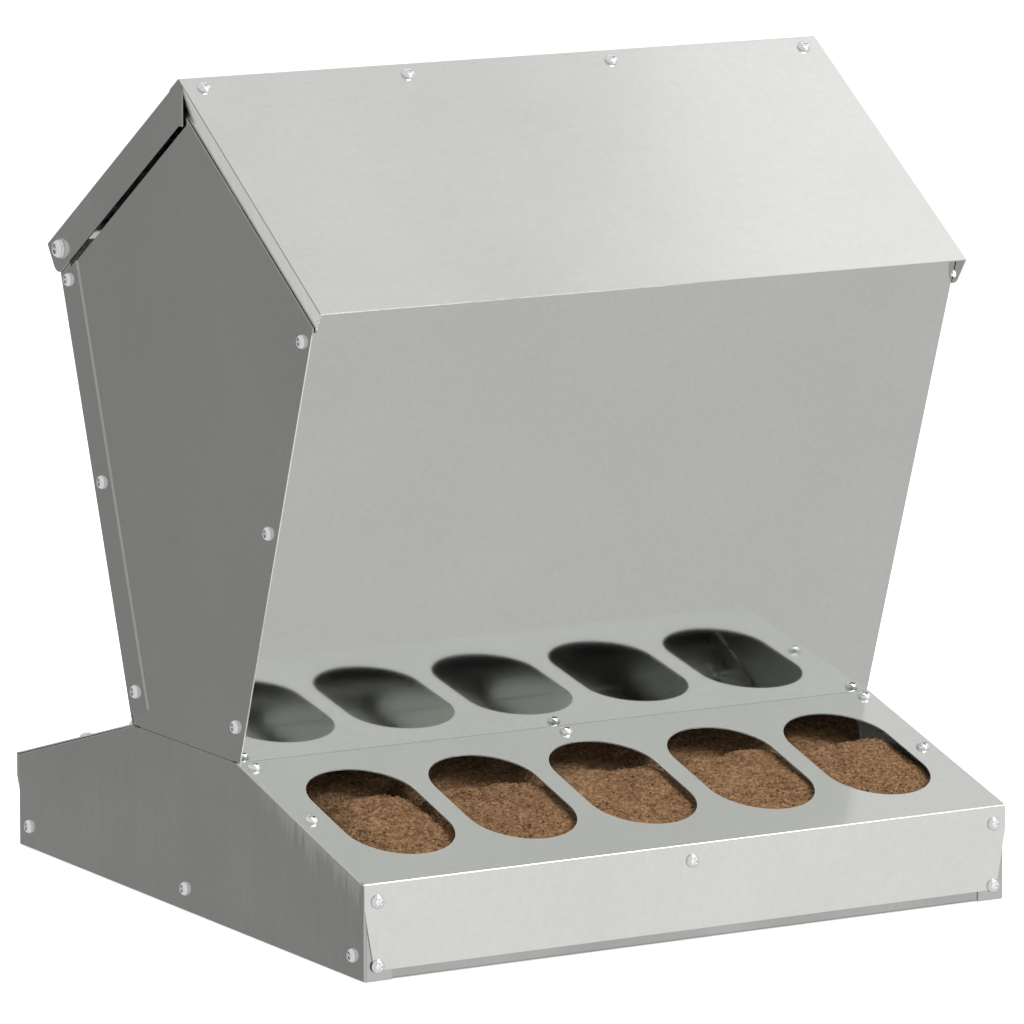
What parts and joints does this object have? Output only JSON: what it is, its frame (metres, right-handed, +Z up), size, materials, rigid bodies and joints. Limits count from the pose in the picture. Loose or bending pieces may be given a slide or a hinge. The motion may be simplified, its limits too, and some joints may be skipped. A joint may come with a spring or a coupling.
{
  "type": "gravity poultry feeder",
  "caption": "Folded sheet metal trough feeder with round-ended feeding holes, a tapered gravity hopper and a hinged pitched roof.",
  "frame": {"origin": "middle of the tray's underside, at floor level", "axes": "+X along the ridge to the right, -Y towards the front trough, +Z up"},
  "size_m": [0.4494, 0.4434, 0.4976],
  "materials": {
    "galvanised_sheet": "smooth galvanised",
    "zinc_fasteners": "bright zinc plate"
  },
  "bodies": {
    "base": {"tray": "galvanised_sheet", "base_side_left": "galvanised_sheet", "base_side_right": "galvanised_sheet", "trough_cover_front": "galvanised_sheet", "trough_cover_rear": "galvanised_sheet", "feed_spreader": "galvanised_sheet", "hopper_wall_front": "galvanised_sheet", "hopper_wall_rear": "galvanised_sheet", "hopper_end_left": "galvanised_sheet", "hopper_end_right": "galvanised_sheet", "skirt_screws_front": "zinc_fasteners", "skirt_screws_rear": "zinc_fasteners", "cover_top_screws_front": "zinc_fasteners", "cover_top_screws_rear": "zinc_fasteners", "cover_side_screws_front": "zinc_fasteners", "cover_side_screws_rear": "zinc_fasteners", "base_side_screws_left": "zinc_fasteners", "base_side_screws_right": "zinc_fasteners", "hopper_screws_front_left": "zinc_fasteners", "hopper_screws_rear_left": "zinc_fasteners", "hopper_screws_front_right": "zinc_fasteners", "hopper_screws_rear_right": "zinc_fasteners", "pivot_screw_left": "zinc_fasteners", "pivot_screw_right": "zinc_fasteners", "pivot_washer_left": "zinc_fasteners", "pivot_washer_right": "zinc_fasteners", "pivot_nut_left": "zinc_fasteners", "pivot_nut_right": "zinc_fasteners"},
    "roof": {"roof_panel_front": "galvanised_sheet", "roof_panel_rear": "galvanised_sheet", "ridge_screws": "zinc_fasteners"}
  },
  "joints": [
    {"name": "roof_hinge", "type": "hinge", "parent": "base", "child": "roof", "pos_m": [0, 0.1529, 0.3791], "axis": [-1, 0, 0], "range_deg": [0, 80]}
  ]
}
